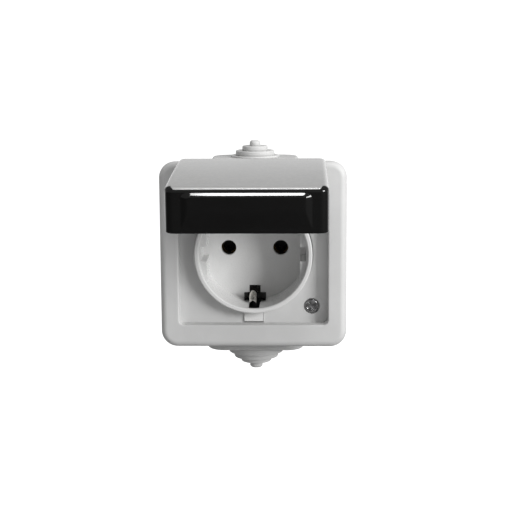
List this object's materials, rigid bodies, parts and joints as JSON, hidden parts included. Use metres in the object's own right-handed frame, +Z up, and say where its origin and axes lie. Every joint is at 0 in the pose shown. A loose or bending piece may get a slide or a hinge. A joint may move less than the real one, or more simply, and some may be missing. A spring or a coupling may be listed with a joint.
{
  "type": "earthed surface-mounted socket with hinged lid",
  "caption": "Light grey surface-mounted earthed wall socket with an open hinged lid, round plug well, side earth clips and stepped rubber cable entries.",
  "frame": {"origin": "centre of the face that meets the wall", "axes": "+X to the right seen from the room, +Y into the wall, +Z up"},
  "size_m": [0.0658, 0.0964, 0.0855],
  "materials": {
    "housing_grey": "fine satin moulded light grey plastic",
    "lid_grey": "fine satin moulded light grey plastic",
    "lid_black": "glossy moulded black plastic",
    "insert_white": "smooth off-white plastic",
    "carrier_plastic": "matt moulded thermoset",
    "gland_rubber": "soft light grey rubber",
    "seal_rubber": "soft dark grey rubber",
    "brass": "plain pressed brass",
    "nickel": "nickel-plated spring brass",
    "zinc_steel": "zinc-plated steel"
  },
  "bodies": {
    "housing": {"back_box": "housing_grey", "front_cover": "housing_grey", "hinge_pin": "zinc_steel", "socket_insert": "insert_white", "contact_carrier": "carrier_plastic", "line_contact": "brass", "neutral_contact": "brass", "earth_strip": "nickel", "line_clamp": "brass", "neutral_clamp": "brass", "earth_clamp": "brass", "terminal_screws": "zinc_steel", "carrier_screws": "zinc_steel", "cover_screws": "zinc_steel", "cover_gasket": "seal_rubber", "top_gland": "gland_rubber", "bottom_gland": "gland_rubber"},
    "lid": {"lid_shell": "lid_grey", "lid_grip": "lid_black", "lid_seal": "seal_rubber"}
  },
  "joints": [
    {"name": "lid_hinge", "type": "hinge", "parent": "housing", "child": "lid", "pos_m": [0, -0.0446, 0.026], "axis": [-1, 0, 0], "range_deg": [-85.3, 3]}
  ]
}
